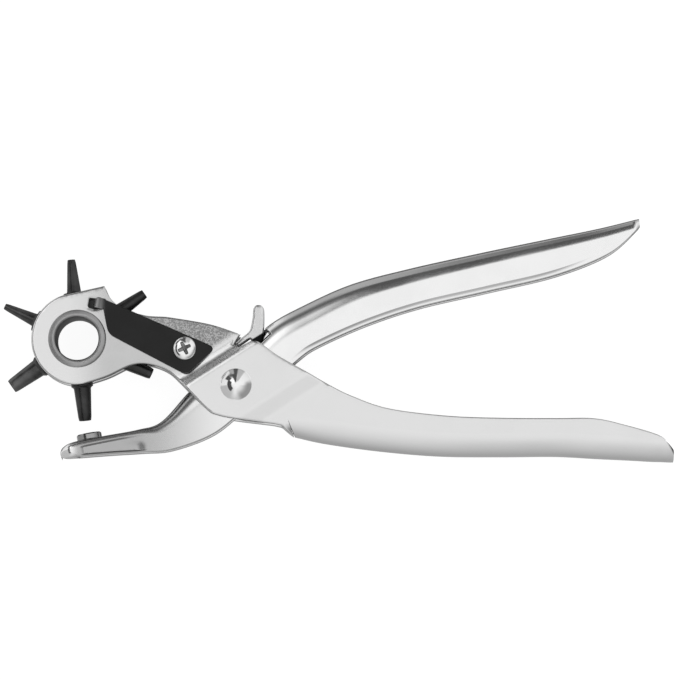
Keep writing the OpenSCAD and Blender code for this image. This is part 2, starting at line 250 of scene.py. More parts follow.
def swell(x, start, steepest, end):
    """A step from 0 to 1 that is steepest at one place and has a long fillet on each side of it."""
    x = np.asarray(x, float)
    low = (x - start) ** 2 / ((end - start) * (steepest - start))
    high = 1 - (end - x) ** 2 / ((end - start) * (end - steepest))
    return np.where(x <= start, 0, np.where(x >= end, 1, np.where(x < steepest, low, high)))


def smooth(x, start, end):
    """A step from 0 to 1 with no corner at either end."""
    t = np.clip((np.asarray(x, float) - start) / (end - start), 0, 1)
    return t * t * (3 - 2 * t)


# ---- meshes

class Skin:
    """Points and faces of one piece, from the pivot in the middle plane."""

    def __init__(self):
        self.points = []
        self.faces = []
        self.kinds = []

    def add(self, points, faces, kinds=None):
        """kinds says which of the piece's materials each face takes."""
        start = len(self.points)
        self.points += [tuple(float(v) for v in p) for p in points]
        self.faces += [tuple(start + i for i in f) for f in faces]
        self.kinds += list(kinds) if kinds is not None else [0] * len(faces)

    def mirrored(self):
        """Adds the same skin on the other side of the middle plane."""
        start = len(self.points)
        self.points += [(x, y, -z) for x, y, z in self.points]
        self.faces += [tuple(start + i for i in reversed(f)) for f in self.faces]
        self.kinds += self.kinds

    def object(self, name, crease=32):
        mesh = bpy.data.meshes.new(name)
        mesh.from_pydata([(x * MM, y * MM, (z + mid_z) * MM) for x, y, z in self.points], [], self.faces)
        mesh.polygons.foreach_set("material_index", self.kinds)
        bm = bmesh.new()
        bm.from_mesh(mesh)
        bmesh.ops.remove_doubles(bm, verts=bm.verts, dist=0.002 * MM)
        bmesh.ops.dissolve_degenerate(bm, edges=bm.edges, dist=0.001 * MM)
        bmesh.ops.recalc_face_normals(bm, faces=bm.faces)
        bm.to_mesh(mesh)
        bm.free()
        mesh.shade_smooth()
        mesh.set_sharp_from_angle(angle=math.radians(crease))
        piece = place(name, mesh)
        even = piece.modifiers.new("even", "WEIGHTED_NORMAL")
        even.keep_sharp = True
        even.weight = 80
        return piece


def place(name, data):
    """A new object in the scene."""
    piece = bpy.data.objects.new(name, data)
    bpy.context.scene.collection.objects.link(piece)
    return piece


def strips(rows, n, closed=False):
    """Faces between each of a number of rows of n points and the next."""
    faces = []
    for row in range(rows - 1):
        a, b = row * n, (row + 1) * n
        for k in range(n if closed else n - 1):
            m = (k + 1) % n
            faces.append((a + k, a + m, b + m, b + k))
    return faces


def skin_rings(skin, rings, capped=(True, True), hidden=0):
    """A closed tube over rings that go round once.
    The last hidden points of each are the inside of a sheet."""
    n = len(rings[0])
    points = [p for ring in rings for p in ring]
    faces = strips(len(rings), n, True)
    kinds = [int(k >= n - hidden) for k in range(n)] * (len(rings) - 1)
    for start, wanted in zip((0, (len(rings) - 1) * n), capped):
        for k in range(n // 2 - 1 if wanted else 0):
            faces.append((start + k, start + k + 1, start + n - 2 - k, start + n - 1 - k))
            kinds.append(0)
    skin.add(points, faces, kinds)


def triangles(loops, extra):
    """Triangles inside the first loop and outside the others, over their points and the extra ones."""
    points = [tuple(p) for loop in loops for p in loop]
    edges = []
    start = 0
    for loop in loops:
        n = len(loop)
        edges += [(start + k, start + (k + 1) % n) for k in range(n)]
        start += n
    points += [tuple(p) for p in extra]
    found = geometry.delaunay_2d_cdt([Vector(p) for p in points], edges, [], 0, 1e-7)
    coords = np.array([tuple(p) for p in found[0]])
    faces = np.array([f for f in found[2] if len(f) == 3])
    centres = coords[faces].mean(1)
    keep = inside(centres, loops[0])
    for hole in loops[1:]:
        keep &= ~inside(centres, hole)
    return coords, faces[keep]


QUARTER = [math.pi / 2 * k / 3 for k in range(4)]


def rim_rows(inner, outer, top, bottom, edge):
    """Rows of points that round the edge of a plate, from its top face to its bottom face."""
    rows = []
    for a in QUARTER:
        xy = inner + (outer - inner) * math.sin(a)
        rows.append(np.column_stack([xy, top - edge * (1 - math.cos(a))]))
    for a in QUARTER:
        xy = inner + (outer - inner) * math.cos(a)
        rows.append(np.column_stack([xy, bottom + edge * (1 - math.sin(a))]))
    return rows


def plate(skin, loop, depth, rimmed, holes, extra, top, thickness, edge=EDGE, frames=()):
    """A plate with rounded edges. depth says how far the faces stop short of each point of the outline,
    and rimmed where the edge is closed. top gives the height of the upper face at each point, and frames the
    width of the bevel round each hole, where it isn't the edge's own."""
    inner = inset(loop, depth)
    widths = list(frames) + [edge] * (len(holes) - len(frames))
    hole_inner = [inset(h, np.full(len(h), -w)) for h, w in zip(holes, widths)]
    coords, faces = triangles([inner] + hole_inner, extra)
    heights = top(coords)
    skin_points = []
    skin_faces = []
    kinds = []

    def put(points, new_faces, cut=False):
        start = len(skin_points)
        skin_points.extend(points)
        skin_faces.extend(tuple(start + i for i in f) for f in new_faces)
        kinds.extend([int(cut)] * len(new_faces))

    put(np.column_stack([coords, heights]), faces)
    put(np.column_stack([coords, heights - thickness]), faces[:, ::-1], True)
    edges = [(inner, loop, rimmed, True)]
    edges += [(i, h, np.ones(len(h), bool), False) for i, h in zip(hole_inner, holes)]
    for in_loop, out_loop, closed, cut in edges:
        h = top(in_loop)
        rows = rim_rows(in_loop, out_loop, h, h - thickness, edge)
        n = len(in_loop)
        for r in range(len(rows) - 1):
            pair = [(k, (k + 1) % n) for k in range(n) if closed[k] or closed[(k + 1) % n]]
            put(np.concatenate(rows[r:r + 2]), [(k, n + k, n + m, m) for k, m in pair], cut and 2 <= r <= 4)
    skin.add(skin_points, skin_faces, kinds)
    return inner


def grid(step_x, step_y, low, high):
    """Points of a regular grid."""
    x = np.arange(low[0], high[0], step_x)
    y = np.arange(low[1], high[1], step_y)
    return np.array([(a, b) for a in x for b in y])


def lathe(name, profile, at=(0, 0), turns=96, lean=None):
    """A turned piece: (radius, height) points round the vertical axis at a place, or laid over by lean, a
    function that moves each point."""
    skin = Skin()
    p = np.array(profile, float)
    n = len(p)
    points, faces = [], []
    for k in range(turns):
        a = 2 * math.pi * k / turns
        points += [(r * math.cos(a), r * math.sin(a), z) for r, z in p]
        m = (k + 1) % turns
        faces += [(k * n + i, m * n + i, m * n + i + 1, k * n + i + 1) for i in range(n - 1)]
    if p[0][0] >= 1e-6 or p[-1][0] >= 1e-6:
        for k in range(turns):
            m = (k + 1) % turns
            faces.append((k * n + n - 1, m * n + n - 1, m * n, k * n))
    if lean:
        points = [lean(q) for q in points]
    points = [(x + at[0], y + at[1], z) for x, y, z in points]
    skin.add(points, faces)
    return skin.object(name)


# ---- turret lever

def cheek_height(xy):
    """Outer face of a cheek above the middle plane, over its two joggles."""
    u = np.asarray(xy, float) @ JOGGLE_WAY
    up = swell(u, *TURRET_JOGGLE)
    down = soft_step(u, *GRIP_JOGGLE, 0.7)
    # Next to the lower handle, the cheek turns in as the handle's half-round back does
    crease, bottom = np.array(GRIP_CREASE[0]), np.array(GRIP_BACK[0])
    r = np.linalg.norm(crease - bottom)
    way = (bottom - crease) / r
    off = np.asarray(xy, float) - crease
    below = np.clip(off @ way / r, 0, 0.97)
    near = smooth(off @ np.array([-way[1], way[0]]), -4.5, 0.0)
    turn_in = GRIP_OUT * (1 - np.sqrt(1 - below**2)) * near
    return TURRET_OUT + (PIVOT_OUT - TURRET_OUT) * up - (PIVOT_OUT - GRIP_OUT) * down - turn_in


STATION_GAP = 1.4
FLAT_POINTS = 9
ARC_POINTS = 12


def grip_rings():
    """Closed sections of the lower handle: half-round back, flat sides, open top."""
    count = int(130 / STATION_GAP)
    at = 1 - (1 - np.linspace(0, 1, count)) ** 1.6

    def even(points):
        p = curve(points, 8)
        return np.stack([np.interp(at * (len(p) - 1), range(len(p)), p[:, k]) for k in (0, 1)], axis=1)

    back, crease, edge = even(GRIP_BACK), even(GRIP_CREASE), even(GRIP_EDGE)
    rings = []
    for w, c, e in zip(back, crease, edge):
        r = np.linalg.norm(c - w)
        up = (c - w) / r
        flat = e - c
        over = np.linalg.norm(flat) if flat @ up > 0 else 0
        reach = (e - w) @ up
        full = reach >= r
        most = math.pi / 2 if full else math.acos(max(0, min(1, (r - reach) / r)))
        way = flat / over if over > 1e-6 and full else up
        half = []
        for side in ("out", "in"):
            a_r = r if side == "out" else r - SHEET
            h = GRIP_OUT if side == "out" else GRIP_OUT - SHEET
            line = []
            for k in range(FLAT_POINTS):
                t = 1 - k / (FLAT_POINTS - 1)
                xy = c + way * ((over - EDGE) * t if full else 0)
                if not full:
                    xy = c - up * (a_r * math.cos(most) + EDGE)
                line.append((*xy, h * (1 if full else math.sin(most))))
            for k in range(1, ARC_POINTS + 1):
                a = most * (1 - k / ARC_POINTS)
                line.append((*(c - up * a_r * math.cos(a)), h * math.sin(a)))
            half.append(line)
        out, back_in = half
        push = way * EDGE
        rim = []
        h_out, h_in = out[0][2], back_in[0][2]
        for a in QUARTER:
            xy = np.array(out[0][:2]) + push * math.sin(a)
            rim.append((*xy, h_out - EDGE * (1 - math.cos(a))))
        for a in QUARTER:
            xy = np.array(back_in[0][:2]) + push * math.cos(a)
            rim.append((*xy, h_in + EDGE * (1 - math.sin(a))))
        front = rim[:4][::-1] + out[1:]
        under = rim[4:] + back_in[1:]
        rear = [(x, y, -z) for x, y, z in reversed(front[:-1])]
        rings.append(front + rear + [(x, y, -z) for x, y, z in under[:-1]] + list(reversed(under)))
    return rings


def turret_lever():
    """Two cheeks with joggles, the fold along the neck, and the lower handle between them."""
    skin = Skin()
    gap = 0.8
    same = 0.15
    rings = grip_rings()
    n_front = 4 + FLAT_POINTS - 1
    joined = np.array([p[:2] for p in rings[0][3:n_front]])
    disc = arc(turret.xy, CHEEK_R, 107.4, 278.4, 0.7)
    parts = [
        (spaced(curve(CHEEK_UNDER, 8), gap), "rim"),
        (spaced(SHOULDER, gap), "rim"),
        (spaced([SHOULDER[-1], joined[-1]], gap), "shut"),
        (joined[::-1], "join"),
        (spaced(curve(CHEEK_OVER, 8), gap), "rim"),
        (spaced(NECK_END, gap), "rim"),
        (spaced(curve(NECK_BEND, 8), gap), "bend"),
        (spaced(curve(NECK_FRONT, 8), gap), "rim"),
        (spaced(CROWN, gap), "rim"),
        (disc, "rim"),
    ]
    loop, kind = [], []
    for points, what in parts:
        for p in points:
            if loop and np.linalg.norm(np.array(p) - loop[-1]) < same:
                if what != "rim":
                    kind[-1] = what
                continue
            loop.append(np.array(p, float))
            kind.append(what)
    if np.linalg.norm(loop[0] - loop[-1]) < same:
        loop.pop()
        kind.pop()
    loop = np.array(loop)
    stops_short = {"rim": ROLLED_EDGE, "shut": 0.05, "join": 0.0, "bend": FLANGE_R}
    depth = np.array([stops_short[k] for k in kind])
    rimmed = np.array([k in ("rim", "shut") for k in kind])
    holes = [
        rounded(WINDOW_HOLE, 0.5),
        arc(turret.xy, CHEEK_BORE, 0, 354, 0.6),
    ]
    u_lines = np.concatenate([
        np.arange(-62, -14.5, 2.0), np.arange(-14.2, -6.6, 0.4), np.arange(-5.5, 8, 2.0),
        np.arange(8.4, 11, 0.35), np.arange(11.4, 13.9, 0.8), np.arange(13.9, 16.2, 0.35),
        np.arange(17, 32, 2.0),
    ])
    v_lines = np.arange(-70, 45, 1.6)
    extra = np.array([u * JOGGLE_WAY + v * JOGGLE_SIDE for u in u_lines for v in v_lines])
    extra = np.concatenate([extra[extra @ JOGGLE_WAY < 17.5], grid(0.6, 0.6, (12.6, -17), (31, -3))])
    inner = inset(loop, depth)
    keep = inside(extra, inner) & clear_of(extra, inner, 0.45)
    for h in holes:
        keep &= ~inside(extra, h) & clear_of(extra, h, 1.4)
    plate(skin, loop, depth, rimmed, holes, extra[keep], cheek_height, SHEET, ROLLED_EDGE, (WINDOW_FRAME,))

    # The sheet folds inwards along the top of the neck
    bend = [k for k, what in enumerate(kind) if what == "bend"]
    rows = []
    for k in bend:
        start = inner[k]
        out = (loop[k] - start) / np.linalg.norm(loop[k] - start)
        h = float(cheek_height(start[None])[0])
        far = FLANGE_GAP / 2
        over = []
        for s in range(7):
            a = math.pi / 2 * s / 6
            over.append((*(start + out * FLANGE_R * math.sin(a)), h - FLANGE_R * (1 - math.cos(a))))
        over.append((*(start + out * FLANGE_R), far + EDGE))
        over.append((*(start + out * (FLANGE_R - EDGE)), far))
        over.append((*(start + out * (FLANGE_R - SHEET + EDGE)), far))
        over.append((*(start + out * (FLANGE_R - SHEET)), far + EDGE))
        over.append((*(start + out * (FLANGE_R - SHEET)), h - SHEET))
        over.append((*start, h - SHEET))
        rows.append(over)
    n = len(rows[0])
    faces = strips(len(rows), n)
    for start in (0, (len(rows) - 1) * n):
        faces.append(tuple(range(start, start + n)))
    skin.add([p for row in rows for p in row], faces)
    skin.mirrored()
    skin_rings(skin, rings, (False, True), len(rings[0]) // 2 - 3)
    return skin.object("turret_lever_pressing", crease=34)


# ---- anvil lever

def channel_rings():
    """Closed sections of the anvil lever: pressed-in jaw, solid nose, stepped lower edges and closed tip."""
    steps = 14
    back, edge = curve(CHANNEL_BACK, steps), curve(CHANNEL_EDGE, steps)
    bend_r = curve([(r, 0) for r in CHANNEL_BEND], steps)[:, 0]
    rings = []
    for b, e, r in zip(back, edge, bend_r):
        depth = np.linalg.norm(e - b)
        way = (e - b) / depth
        x = b[0]
        nose = min(1.0, (x + 57.92) / 3.6)
        tip = smooth(x, 130.5, 132.7)
        half = CHANNEL_OUT * (0.2 + 0.8 * math.sqrt(1 - (1 - nose) ** 2)) * (1 - 0.25 * tip**2)
        corner = min(EDGE + 1.3 * (1 - smooth(x, -55, -51.5)), depth * 0.42, half * 0.9)
        wall = SHEET + (half - SHEET) * max(1 - smooth(x, -53.5, -52.6), smooth(x, 129.5, 131))
        r = max(0.4, min(r, depth * 0.8))
        r_z = max(0.3, min(r, CHANNEL_BEND_DEEP, half - 0.2))
        lip = min(1.7, depth * 0.32)
        drop = 0.75 * smooth(x, 4, 22) * (1 - smooth(x, 95, 122))
        upper = max(lip + 0.1, depth - r - 0.9)
        outer, inner = [], []
        marks = np.concatenate([
            np.linspace(corner, lip - 0.1, 9), np.linspace(lip - 0.04, lip + 0.5, 7)[:-1],
            np.linspace(lip + 0.5, upper, 6), np.linspace(upper, depth - r, 8)[1:],
        ])
        marks = np.maximum.accumulate(np.minimum(marks, depth - r))
        for from_edge in marks:
            s = depth - from_edge
            t = min(1, from_edge / lip)
            blend_end = smooth(s, r + 0.3 * (depth - r), r + 0.6 * (depth - r))
            pit_end = blend_end * (1 - smooth(x, -33.6, -29.6)) + (1 - blend_end) * (1 - smooth(x, -40, -28))
            pit = 0.8 * smooth(x, -51.6, -50.7) * pit_end
            pit *= smooth(s, r - 0.05, r + 0.7) * smooth(from_edge, 0.4, 0.9)
            z = half - pit - drop * (1 - t**2.3)
            outer.append((s, z))
            inner.append((s, z - wall))
        for k in range(1, 15):
            a = math.pi / 2 * (1 - k / 14)
            outer.append((r - r * math.cos(a), half - r_z + r_z * math.sin(a)))
            ri, ri_z = max(r - SHEET, 0.25), max(r_z - SHEET, 0.25)
            cr = max(r, SHEET + 0.25)
            inside_z = half - SHEET - ri_z + ri_z * math.sin(a)
            inner.append((cr - ri * math.cos(a), max(0.0, (half - wall) * inside_z / max(half - SHEET, 0.1))))
        z_out, z_in = outer[0][1], inner[0][1]
        rim, rim_in = [], []
        for a in QUARTER:
            s = depth - corner * (1 - math.cos(a))
            rim.append((s, z_out - corner * (1 - math.sin(a))))
            rim_in.append((s, z_in + min(corner, wall / 2, z_out - corner - z_in) * (1 - math.sin(a))))
        front = rim + outer[1:]
        under = rim_in + inner[1:]
        rear = [(s, -z) for s, z in reversed(front)]
        rear_under = [(s, -z) for s, z in under]
        section = front + rear + rear_under + list(reversed(under))
        rings.append([(*(b + way * s), z) for s, z in section])
    return rings


def slotted(piece, low, high, angle):
    """The piece with an oblong slot milled through, given as a box turned about the pivot's axis."""
    a = math.radians(angle)
    corners = [(x, y, z) for x in (low[0], high[0]) for y in (low[1], high[1]) for z in (low[2], high[2])]
    skin = Skin()
    skin.add(
        [(x * math.cos(a) - y * math.sin(a), x * math.sin(a) + y * math.cos(a), z) for x, y, z in corners],
        [(0, 1, 3, 2), (4, 6, 7, 5), (0, 4, 5, 1), (2, 3, 7, 6), (0, 2, 6, 4), (1, 5, 7, 3)],
    )
    cutter = skin.object("slot_cutter")
    cutter.modifiers.clear()
    cut = piece.modifiers.new("slot", "BOOLEAN")
    cut.object = cutter
    cut.operation = "DIFFERENCE"
    cut.solver = "EXACT"
    piece.modifiers.move(len(piece.modifiers) - 1, 0)
    bpy.context.view_layer.update()
    evaluated = piece.evaluated_get(bpy.context.evaluated_depsgraph_get())
    mesh = bpy.data.meshes.new_from_object(evaluated)
    piece.modifiers.clear()
    piece.data = mesh
    bpy.data.objects.remove(cutter)
    return piece


def anvil_lever():
    """The channel from jaw to handle, with the slot that the catch comes out of."""
    skin = Skin()
    rings = channel_rings()
    skin_rings(skin, rings, hidden=len(rings[0]) // 2 - 3)
    piece = skin.object("anvil_lever_pressing", crease=34)
    return slotted(piece, (8.6, 3.9, -1.7), (19.3, 9.5, 5.0), 38.7)


# ---- turned pieces

def turret_rivet():
    """Hollow rivet: a rolled lip in front, a flared foot behind, and an open bore."""
    inner = 7.0
    barrel = inner + 1
    front = TURRET_OUT
    foot = -TURRET_OUT - WASHER
    profile = [
        (inner, foot - 0.6), (inner + 0.5, foot - 1.08), (9.0, foot - 1.0), (9.2, foot - 0.5), (9.2, foot),
        (barrel, foot), (barrel, front), (9.5, front), (9.5, front + 0.5), (9.15, front + 0.95),
        (8.15, front + 1.25), (7.75, front + 1.22), (7.25, front + 0.8), (inner, front + 0.1),
    ]
    return lathe("turret_rivet_turned", eased(profile, 0.28), at=turret.xy, turns=128)


def ring(name, inner, outer, low, high, at=(0, 0)):
    """A washer or a sleeve."""
    return lathe(name, eased([(inner, low), (outer, low), (outer, high), (inner, high)], 0.15), at=at)


def pivot_rivet():
    """Pivot rivet: a domed head in front and a flat foot behind."""
    head_r, head_h, foot_r = 5.2, 2.5, 4.8
    foot = -PIVOT_OUT - WASHER
    ball = (head_r**2 + head_h**2) / (2 * head_h)
    full = math.asin(head_r / ball)
    profile = [(0, foot - 1.2), (foot_r - 0.4, foot - 1.2), (foot_r, foot - 0.9), (foot_r, foot), (3.0, foot)]
    profile += [(3.0, PIVOT_OUT), (head_r - 0.1, PIVOT_OUT), (head_r, PIVOT_OUT + 0.12)]
    for k in range(1, 25):
        a = full * (1 - k / 24)
        profile.append((ball * math.sin(a), PIVOT_OUT + head_h - ball * (1 - math.cos(a))))
    return lathe("pivot_rivet_turned", profile, turns=128)


# Each punch, and how much lighter wear has made its oxide
PUNCHES = [
    ("punch_2_0", 1.7), ("punch_2_5", 1.0), ("punch_3_0", 1.0),
    ("punch_3_5", 1.0), ("punch_4_0", 1.0), ("punch_4_5", 2.0),
]


def leaned(angle, at):
    """Lays a piece's axis in the middle plane, at an angle from the handles' side and through a place."""
    a = math.radians(angle)
    way = (math.cos(a), math.sin(a))

    def lay(q):
        x, y, z = q
        return (at[0] + way[0] * z - way[1] * x, at[1] + way[1] * z + way[0] * x, y)
    return lay


def punch(index):
    """A tapered tube with a bevelled cutting edge, on a collar that bears on the wheel's rim."""
    tip = 1.0 + 0.25 * index
    root = 1.45 + 0.69 * tip
    reach, seat = 26.7, 14.22
    hollow = tip - 0.22
    collar = 3.6
    profile = [
        (hollow, 9.0), (2.2, 9.0), (2.2, seat), (collar - 0.15, seat), (collar, seat + 0.15),
        (collar, seat + 1.15), (collar - 0.3, seat + 1.4), (root + 0.35, seat + 1.4), (root, seat + 1.85),
        (tip + 0.2, reach - 1.3), (tip + 0.16, reach - 1.0), (tip, reach - 0.12), (tip - 0.06, reach),
        (hollow, reach), (hollow, reach - 0.8),
    ]
    lean = leaned(PUNCH_START - PUNCH_STEP * index, turret.xy)
    return lathe(f"punch_{index}_turned", eased(profile, 0.09), lean=lean, turns=64)


def anvil():
    """A turned button with a chamfered edge and a stem that is peened over inside the jaw."""
    r, h = 4.1, 2.0
    profile = [
        (0, 0), (1.2, 0), (1.25, -0.04), (1.4, -0.04), (1.45, 0), (r - 0.45, 0), (r, -0.4), (r, -h + 0.15),
        (r - 0.15, -h), (2.5, -h), (2.5, -4.3), (3.1, -4.3), (2.8, -5.0), (0, -5.0),
    ]
    return lathe("anvil_turned", profile, lean=leaned(100.2, (-48.6, -15.6)), turns=96)


def index_screw():
    """Pan head with a cross recess, pressed into its skin."""
    skin = Skin()
    cx, cy = -16.9, 11.8
    seat = TURRET_OUT + 1.2
    r_head, h_head = 3.95, 2.4
    turn = math.radians(25)
    radii = np.concatenate([np.linspace(0.001, 2.7, 48), np.linspace(2.78, r_head, 14)])
    sides = 160

    def top(r):
        t = min(r / r_head, 1)
        return seat + 0.55 + (h_head - 0.55) * (1 - t**4.2) ** 0.5

    points = []
    for r in radii:
        for k in range(sides):
            a = 2 * math.pi * k / sides
            x, y = r * math.cos(a), r * math.sin(a)
            z = top(r)
            deep = 0
            for b in (turn, turn + math.pi / 2):
                length = abs(x * math.cos(b) + y * math.sin(b))
                across = abs(-x * math.sin(b) + y * math.cos(b))
                width = 0.62 - 0.1 * length
                wall = (1 - smooth(across, width - 0.1, width + 0.1)) * (1 - smooth(length, 1.9, 2.3))
                deep = max(deep, float(wall) * (1.5 - 0.42 * length))
            points.append((cx + x, cy + y, z - deep))
    end = TURRET_OUT - 3.4
    shank = [(r_head, seat + 0.1), (r_head - 0.12, seat), (2.0, seat)]
    shank += [(2.0, TURRET_OUT - 3), (1.6, end), (0.001, end)]
    for r, z in shank:
        for k in range(sides):
            a = 2 * math.pi * k / sides
            points.append((cx + r * math.cos(a), cy + r * math.sin(a), z))
    faces = strips(len(points) // sides, sides, True)
    head = (len(radii) - 1) * sides
    kinds = []
    # Faces deep in the cross recess take the second material, painted darker as shade.
    for k, face in enumerate(faces):
        x, y, z = points[face[0]]
        kinds.append(int(k < head and abs(z - top(math.hypot(x - cx, y - cy))) > 0.25))
    skin.add(points, faces, kinds)
    return skin.object("index_screw_turned", crease=38)


# ---- springs and lock

def stamp(skin, loop, gap, margin, edge, level, thickness):
    """A flat plate with its edge rounded all the way round. gap is the mesh's spacing."""
    extra = grid(gap, gap, loop.min(0), loop.max(0))
    keep = inside(extra, loop) & clear_of(extra, loop, margin)

    def top(xy):
        return np.full(len(xy), level)
    depth, rimmed = np.full(len(loop), edge), np.ones(len(loop), bool)
    plate(skin, loop, depth, rimmed, [], extra[keep], top, thickness, edge=edge)


def index_spring():
    """A flat leaf with rounded corners. Its nose rolls over and dips through the cheek's window."""
    skin = Skin()
    leaf = 1.2
    base = TURRET_OUT
    corner = 0.22
    outline = [(-44.4, 28.6), (-42.0, 16.7), (-16.4, 3.2), (-6.6, 12.1)]
    loop = anticlockwise(rounded(outline, (0.6, 2.2, 2.4, 2.6), 6))
    dense = []
    for a, b in zip(loop, np.roll(loop, -1, 0)):
        n = max(1, int(np.linalg.norm(b - a) / 0.8))
        dense += [a + (b - a) * k / n for k in range(n)]
    stamp(skin, np.array(dense), 1.3, 0.7, corner, base + leaf, leaf)

    root = np.array([-43.6, 26.6])
    way = np.array([-0.98, 0.2])
    side = np.array([-way[1], way[0]])
    roll = 1.9
    level = base + leaf / 2 + 0.03
    path = [(0.1, level - 0.2), (0.2, level), (0.4, level)]
    for k in range(13):
        a = math.radians(78 * k / 12)
        path.append((0.5 + roll * math.sin(a), level - roll * (1 - math.cos(a))))
    s0, z0 = path[-1]
    path += [(s0 + 0.1 * k, z0 - 0.42 * k) for k in (1, 2, 3)]
    rings = []
    p = np.array(path)
    for i, (s, z) in enumerate(p):
        run = p[min(i + 1, len(p) - 1)] - p[max(i - 1, 0)]
        run /= np.linalg.norm(run)
        across = np.array([-run[1], run[0]])
        half_w = 1.75 - 0.2 * i / len(p)
        ring_points = []
        corners = [(half_w, leaf / 2), (-half_w, leaf / 2), (-half_w, -leaf / 2), (half_w, -leaf / 2)]
        for w, h in rounded(corners, corner, 3):
            q = np.array([s, z]) + across * h
            xy = root + way * q[0] + side * w
            ring_points.append((*xy, q[1]))
        rings.append(ring_points)
    skin_rings(skin, rings)
    return skin.object("index_spring_leaf")


def opening_spring():
    """Torsion spring: a leg, three turns round the sleeve, and the other leg."""
    coil_r, half, wire = 5.0, 2.9, 0.6
    lower, upper = (27, -14.5), (15.5, 19.5)
    start = math.atan2(lower[1], lower[0]) + math.acos(coil_r / math.hypot(*lower))
    end = math.atan2(upper[1], upper[0]) - math.acos(coil_r / math.hypot(*upper)) + 6 * math.pi
    steps = 150
    path = [np.array([*lower, -half])]
    first = np.array([coil_r * math.cos(start), coil_r * math.sin(start), -half])
    path += [path[0] + (first - path[0]) * t for t in (0.5, 0.9)]
    for i in range(steps + 1):
        a = start + (end - start) * i / steps
        path.append(np.array([coil_r * math.cos(a), coil_r * math.sin(a), -half + 2 * half * i / steps]))
    last = path[-1]
    path += [last + (np.array([*upper, half]) - last) * t for t in (0.1, 0.5, 1.0)]
    round_wire = np.linspace(0, 2 * math.pi, 12, endpoint=False)
    rings = []
    for i, p in enumerate(path):
        run = path[min(i + 1, len(path) - 1)] - path[max(i - 1, 0)]
        out = np.cross(run, (0, 0, 1))
        out /= np.linalg.norm(out)
        up = np.cross(out, run) / np.linalg.norm(run)
        rings.append([tuple(p + wire * (out * math.cos(a) + up * math.sin(a))) for a in round_wire])
    skin = Skin()
    skin_rings(skin, rings)
    return skin.object("opening_spring_wire", crease=50)


def lock_lever():
    """A stamped catch with a thumb tab and a hook."""
    skin = Skin()
    outline = [
        (5.5, 25.6), (5.35, 22.5), (4.5, 18.1), (1.6, 15.8), (-0.6, 13.9), (0.4, 12.7), (2.6, 14.1),
        (5.0, 15.9), (4.3, 12.0), (4.2, 9.4), (5.0, 5.7), (8.2, 5.6), (8.9, 8.6), (8.7, 13.5), (9.0, 17.3),
        (9.2, 22.0), (9.1, 25.4), (8.2, 26.7), (6.4, 26.8),
    ]
    thickness = 3.0
    stamp(skin, anticlockwise(rounded(outline, 1.3, 5)), 0.9, 0.9, 0.7, thickness / 2, thickness)
    return skin.object("lock_lever_stamped")


# ---- materials

class Nodes:
    """A short way to write a node tree."""

    def __init__(self, tree):
        self.tree = tree
        tree.nodes.clear()

    def new(self, kind, sockets=None, **values):
        n = self.tree.nodes.new(kind)
        for k, v in values.items():
            setattr(n, k, v)
        for k, v in (sockets or {}).items():
            n.inputs[k].default_value = v
        return n

    def link(self, out, into):
        self.tree.links.new(out, into)

    def math(self, operation, a, b=0.0):
        n = self.new("ShaderNodeMath", operation=operation)
        for k, v in enumerate((a, b)):
            if isinstance(v, (int, float)):
                n.inputs[k].default_value = v
            else:
                self.link(v, n.inputs[k])
        return n.outputs[0]

    def times(self, a, b):
        return self.math("MULTIPLY", a, b)

    def plus(self, a, b):
        return self.math("ADD", a, b)

    def minus(self, a, b):
        return self.math("SUBTRACT", a, b)

    def ramp(self, value, start, end, low=0.0, high=1.0, kind="SMOOTHSTEP"):
        limits = {"From Min": start, "From Max": end, "To Min": low, "To Max": high}
        n = self.new("ShaderNodeMapRange", limits, interpolation_type=kind)
        self.link(value, n.inputs["Value"])
        return n.outputs[0]

    def mix(self, share, a, b):
        n = self.new("ShaderNodeMix", data_type="RGBA")
        for socket, v in ((n.inputs[0], share), (n.inputs[6], a), (n.inputs[7], b)):
            if isinstance(v, (int, float)):
                socket.default_value = v
            elif isinstance(v, tuple):
                socket.default_value = (*v, 1)
            else:
                self.link(v, socket)
        return n.outputs[2]

    def noise(self, where, scale, detail=3.0, rough=0.55, seed=0.0):
        sockets = {"Scale": scale, "Detail": detail, "Roughness": rough, "W": seed}
        n = self.new("ShaderNodeTexNoise", sockets, noise_dimensions="4D")
        self.link(where, n.inputs["Vector"])
        return n.outputs[0]


PIT_MM = 0.45


def grey(v):
    return (v, v, v)


